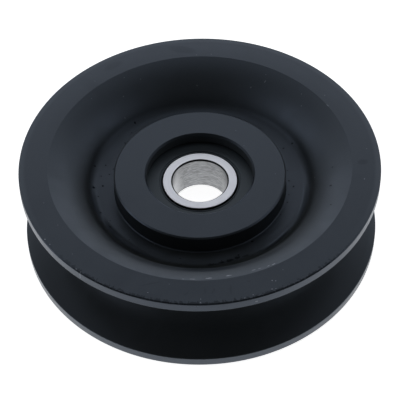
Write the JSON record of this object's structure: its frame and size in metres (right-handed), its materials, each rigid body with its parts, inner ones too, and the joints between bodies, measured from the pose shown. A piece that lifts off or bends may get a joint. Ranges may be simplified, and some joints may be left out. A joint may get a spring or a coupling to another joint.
{
  "type": "pulley",
  "caption": "Grooved pulley with dished sides and a raised hub that turns on a sealed ball bearing, for guiding a hose, rope or belt round a fixed pin.",
  "frame": {"origin": "middle of the bearing's bore, on the mid-plane of the groove", "axes": "+Z along the axis that the pulley turns about, out of the lipped side of the hub; X and Y across the rim, with the retaining ring's gap at -Y"},
  "size_m": [0.13, 0.13, 0.0344],
  "materials": {
    "black_coat": "satin black coating on turned metal",
    "ground_steel": "ground",
    "ball_steel": "polished",
    "cage_sheet": "pressed sheet",
    "seal_rubber": "matte",
    "spring_steel": "dark oiled spring steel"
  },
  "bodies": {
    "inner_ring": {"bearing_inner_ring": "ground_steel"},
    "wheel": {"sheave": "black_coat", "bearing_outer_ring": "ground_steel", "seal_upper": "seal_rubber", "seal_lower": "seal_rubber", "retaining_ring": "spring_steel"},
    "ball_cage": {"cage_upper_half": "cage_sheet", "cage_lower_half": "cage_sheet", "cage_rivets": "cage_sheet"},
    "ball_1": {"ball_1": "ball_steel"},
    "ball_2": {"ball_2": "ball_steel"},
    "ball_3": {"ball_3": "ball_steel"},
    "ball_4": {"ball_4": "ball_steel"},
    "ball_5": {"ball_5": "ball_steel"},
    "ball_6": {"ball_6": "ball_steel"},
    "ball_7": {"ball_7": "ball_steel"},
    "ball_8": {"ball_8": "ball_steel"}
  },
  "joints": [
    {"name": "wheel_spin", "type": "hinge", "parent": "inner_ring", "child": "wheel", "pos_m": [0, 0, 0], "axis": [0, 0, 1], "continuous": true},
    {"name": "cage_spin", "type": "hinge", "parent": "inner_ring", "child": "ball_cage", "pos_m": [0, 0, 0], "axis": [0, 0, 1], "continuous": true},
    {"name": "ball_1_roll", "type": "hinge", "parent": "ball_cage", "child": "ball_1", "pos_m": [0.01675, 0, 0], "axis": [0, 0, 1], "continuous": true},
    {"name": "ball_2_roll", "type": "hinge", "parent": "ball_cage", "child": "ball_2", "pos_m": [0.01184, 0.01184, 0], "axis": [0, 0, 1], "continuous": true},
    {"name": "ball_3_roll", "type": "hinge", "parent": "ball_cage", "child": "ball_3", "pos_m": [0, 0.01675, 0], "axis": [0, 0, 1], "continuous": true},
    {"name": "ball_4_roll", "type": "hinge", "parent": "ball_cage", "child": "ball_4", "pos_m": [-0.01184, 0.01184, 0], "axis": [0, 0, 1], "continuous": true},
    {"name": "ball_5_roll", "type": "hinge", "parent": "ball_cage", "child": "ball_5", "pos_m": [-0.01675, 0, 0], "axis": [0, 0, 1], "continuous": true},
    {"name": "ball_6_roll", "type": "hinge", "parent": "ball_cage", "child": "ball_6", "pos_m": [-0.01184, -0.01184, 0], "axis": [0, 0, 1], "continuous": true},
    {"name": "ball_7_roll", "type": "hinge", "parent": "ball_cage", "child": "ball_7", "pos_m": [0, -0.01675, 0], "axis": [0, 0, 1], "continuous": true},
    {"name": "ball_8_roll", "type": "hinge", "parent": "ball_cage", "child": "ball_8", "pos_m": [0.01184, -0.01184, 0], "axis": [0, 0, 1], "continuous": true}
  ],
  "couplings": [
    {"joint": "cage_spin", "follows": "wheel_spin", "ratio": 0.61848},
    {"joint": "ball_1_roll", "follows": "wheel_spin", "ratio": 1.9916},
    {"joint": "ball_2_roll", "follows": "wheel_spin", "ratio": 1.9916},
    {"joint": "ball_3_roll", "follows": "wheel_spin", "ratio": 1.9916},
    {"joint": "ball_4_roll", "follows": "wheel_spin", "ratio": 1.9916},
    {"joint": "ball_5_roll", "follows": "wheel_spin", "ratio": 1.9916},
    {"joint": "ball_6_roll", "follows": "wheel_spin", "ratio": 1.9916},
    {"joint": "ball_7_roll", "follows": "wheel_spin", "ratio": 1.9916},
    {"joint": "ball_8_roll", "follows": "wheel_spin", "ratio": 1.9916}
  ]
}
